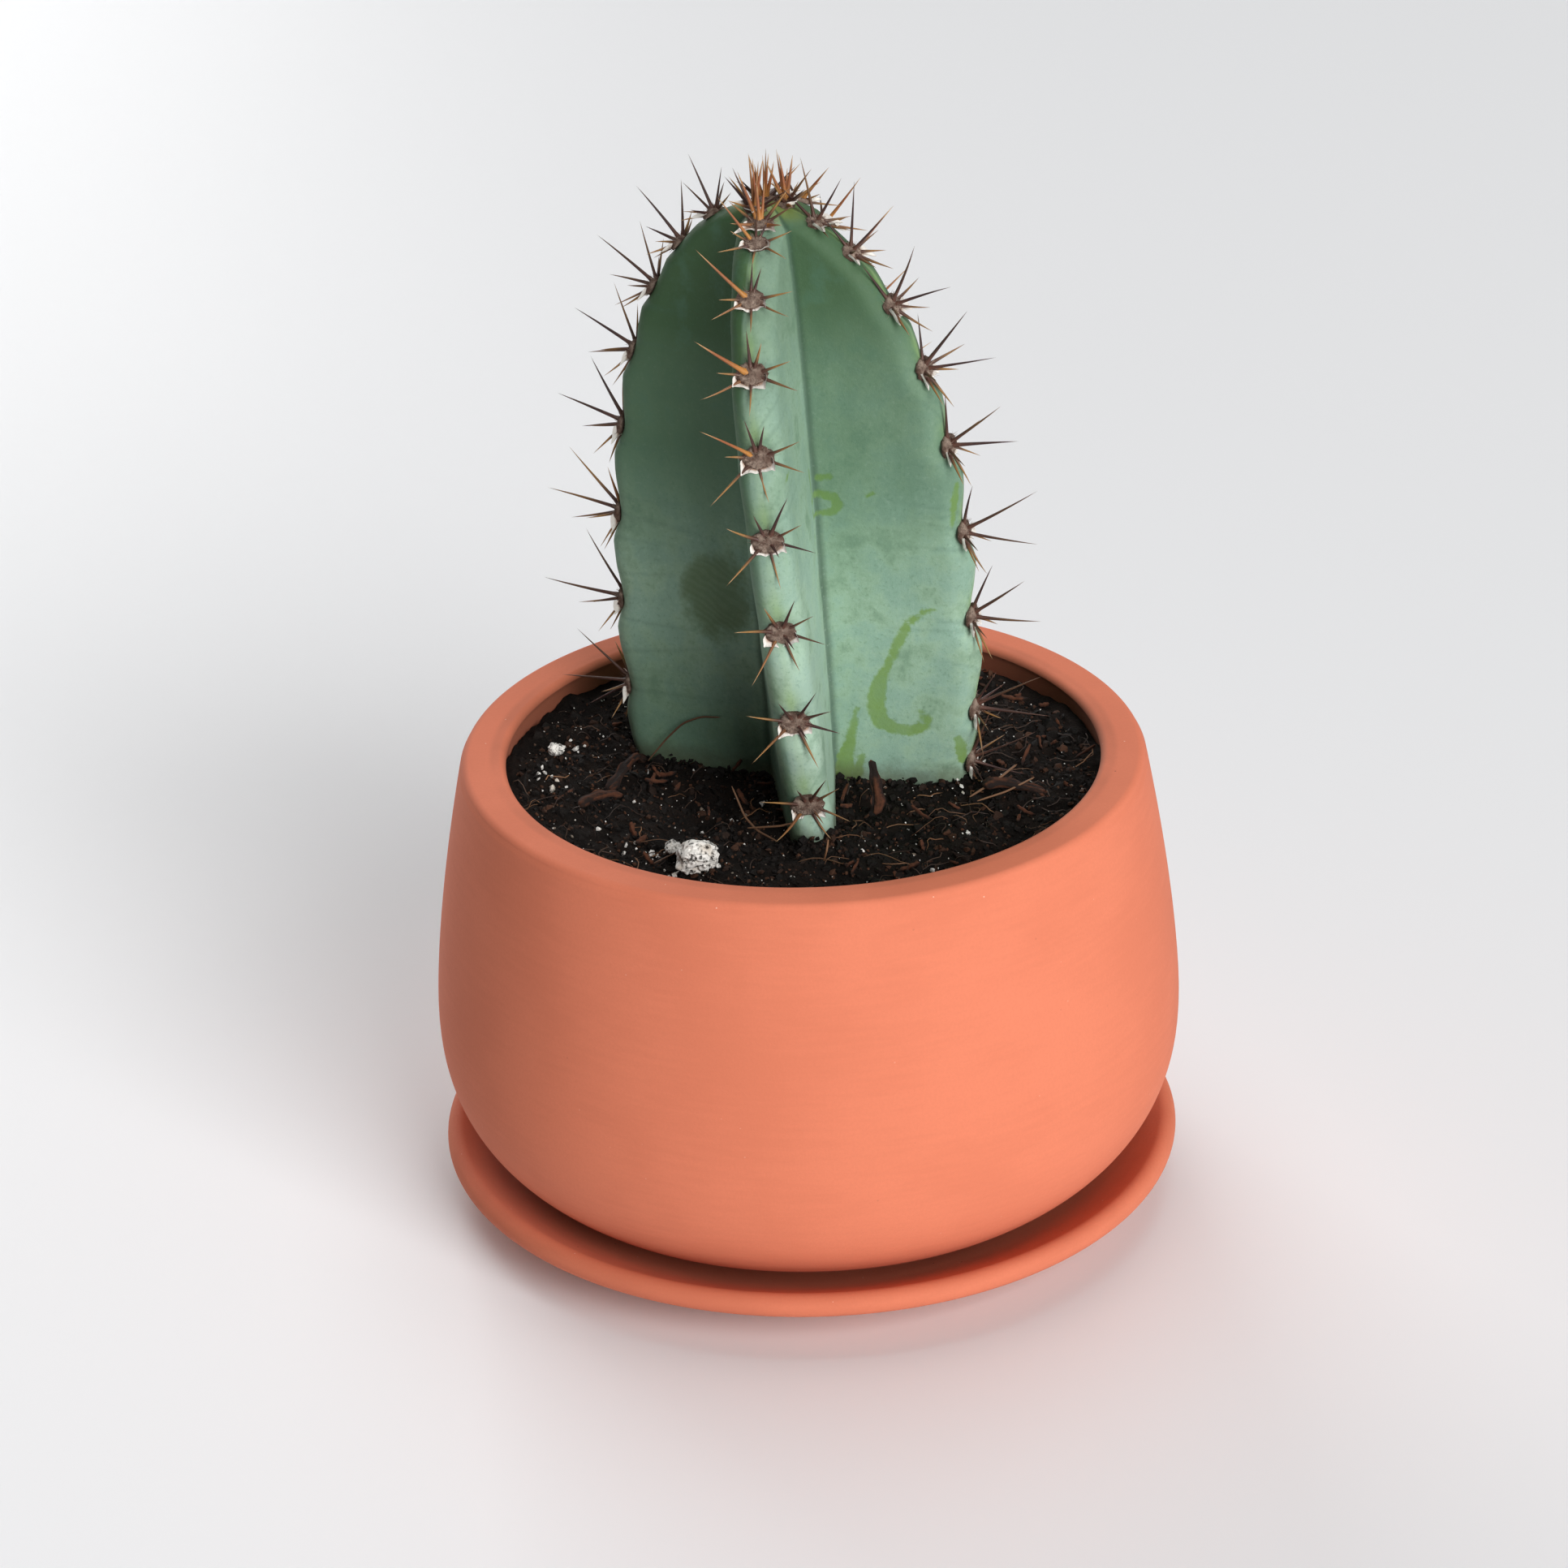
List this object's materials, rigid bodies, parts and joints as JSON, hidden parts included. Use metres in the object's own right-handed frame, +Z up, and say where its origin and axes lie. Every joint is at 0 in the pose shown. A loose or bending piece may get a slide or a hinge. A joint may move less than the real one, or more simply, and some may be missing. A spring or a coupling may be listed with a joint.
{
  "type": "potted cactus",
  "caption": "Short ribbed columnar cactus with spine clusters along its crests, in peat soil in a round terracotta pot on a saucer.",
  "frame": {"origin": "centre of the saucer's flat underside, on the surface it stands on", "axes": "+Z up along the pot's axis; -Y the front, where the rib in front faces; +X towards the right rib"},
  "size_m": [0.155, 0.155, 0.2272],
  "materials": {
    "saucer_clay": "unglazed matte terracotta",
    "clay": "unglazed matte terracotta",
    "peat": "loose dark peat with fibres and white grains",
    "stem_skin": "blue-green waxy skin with a pale bloom",
    "spines": "hard brown spines on felted wool",
    "perlite": "porous white mineral",
    "bark": "rough split bark"
  },
  "bodies": {
    "root": {"areole_back_1": "spines", "areole_back_2": "spines", "areole_back_3": "spines", "areole_back_4": "spines", "areole_back_5": "spines", "areole_back_6": "spines", "areole_back_7": "spines", "areole_back_8": "spines", "areole_front_1": "spines", "areole_front_2": "spines", "areole_front_3": "spines", "areole_front_4": "spines", "areole_front_5": "spines", "areole_front_6": "spines", "areole_front_7": "spines", "areole_front_8": "spines", "areole_left_1": "spines", "areole_left_2": "spines", "areole_left_3": "spines", "areole_left_4": "spines", "areole_left_5": "spines", "areole_left_6": "spines", "areole_left_7": "spines", "areole_left_8": "spines", "areole_right_1": "spines", "areole_right_2": "spines", "areole_right_3": "spines", "areole_right_4": "spines", "areole_right_5": "spines", "areole_right_6": "spines", "areole_right_7": "spines", "areole_right_8": "spines", "areole_right_9": "spines", "bark_chip_1": "bark", "bark_chip_2": "bark", "bark_chip_3": "bark", "bark_chip_4": "bark", "cactus_stem": "stem_skin", "crown_tuft_1": "spines", "crown_tuft_2": "spines", "crown_tuft_3": "spines", "perlite_lump": "perlite", "perlite_small_1": "perlite", "perlite_small_2": "perlite", "potting_soil": "peat", "saucer": "saucer_clay", "terracotta_pot": "clay"}
  },
  "joints": []
}
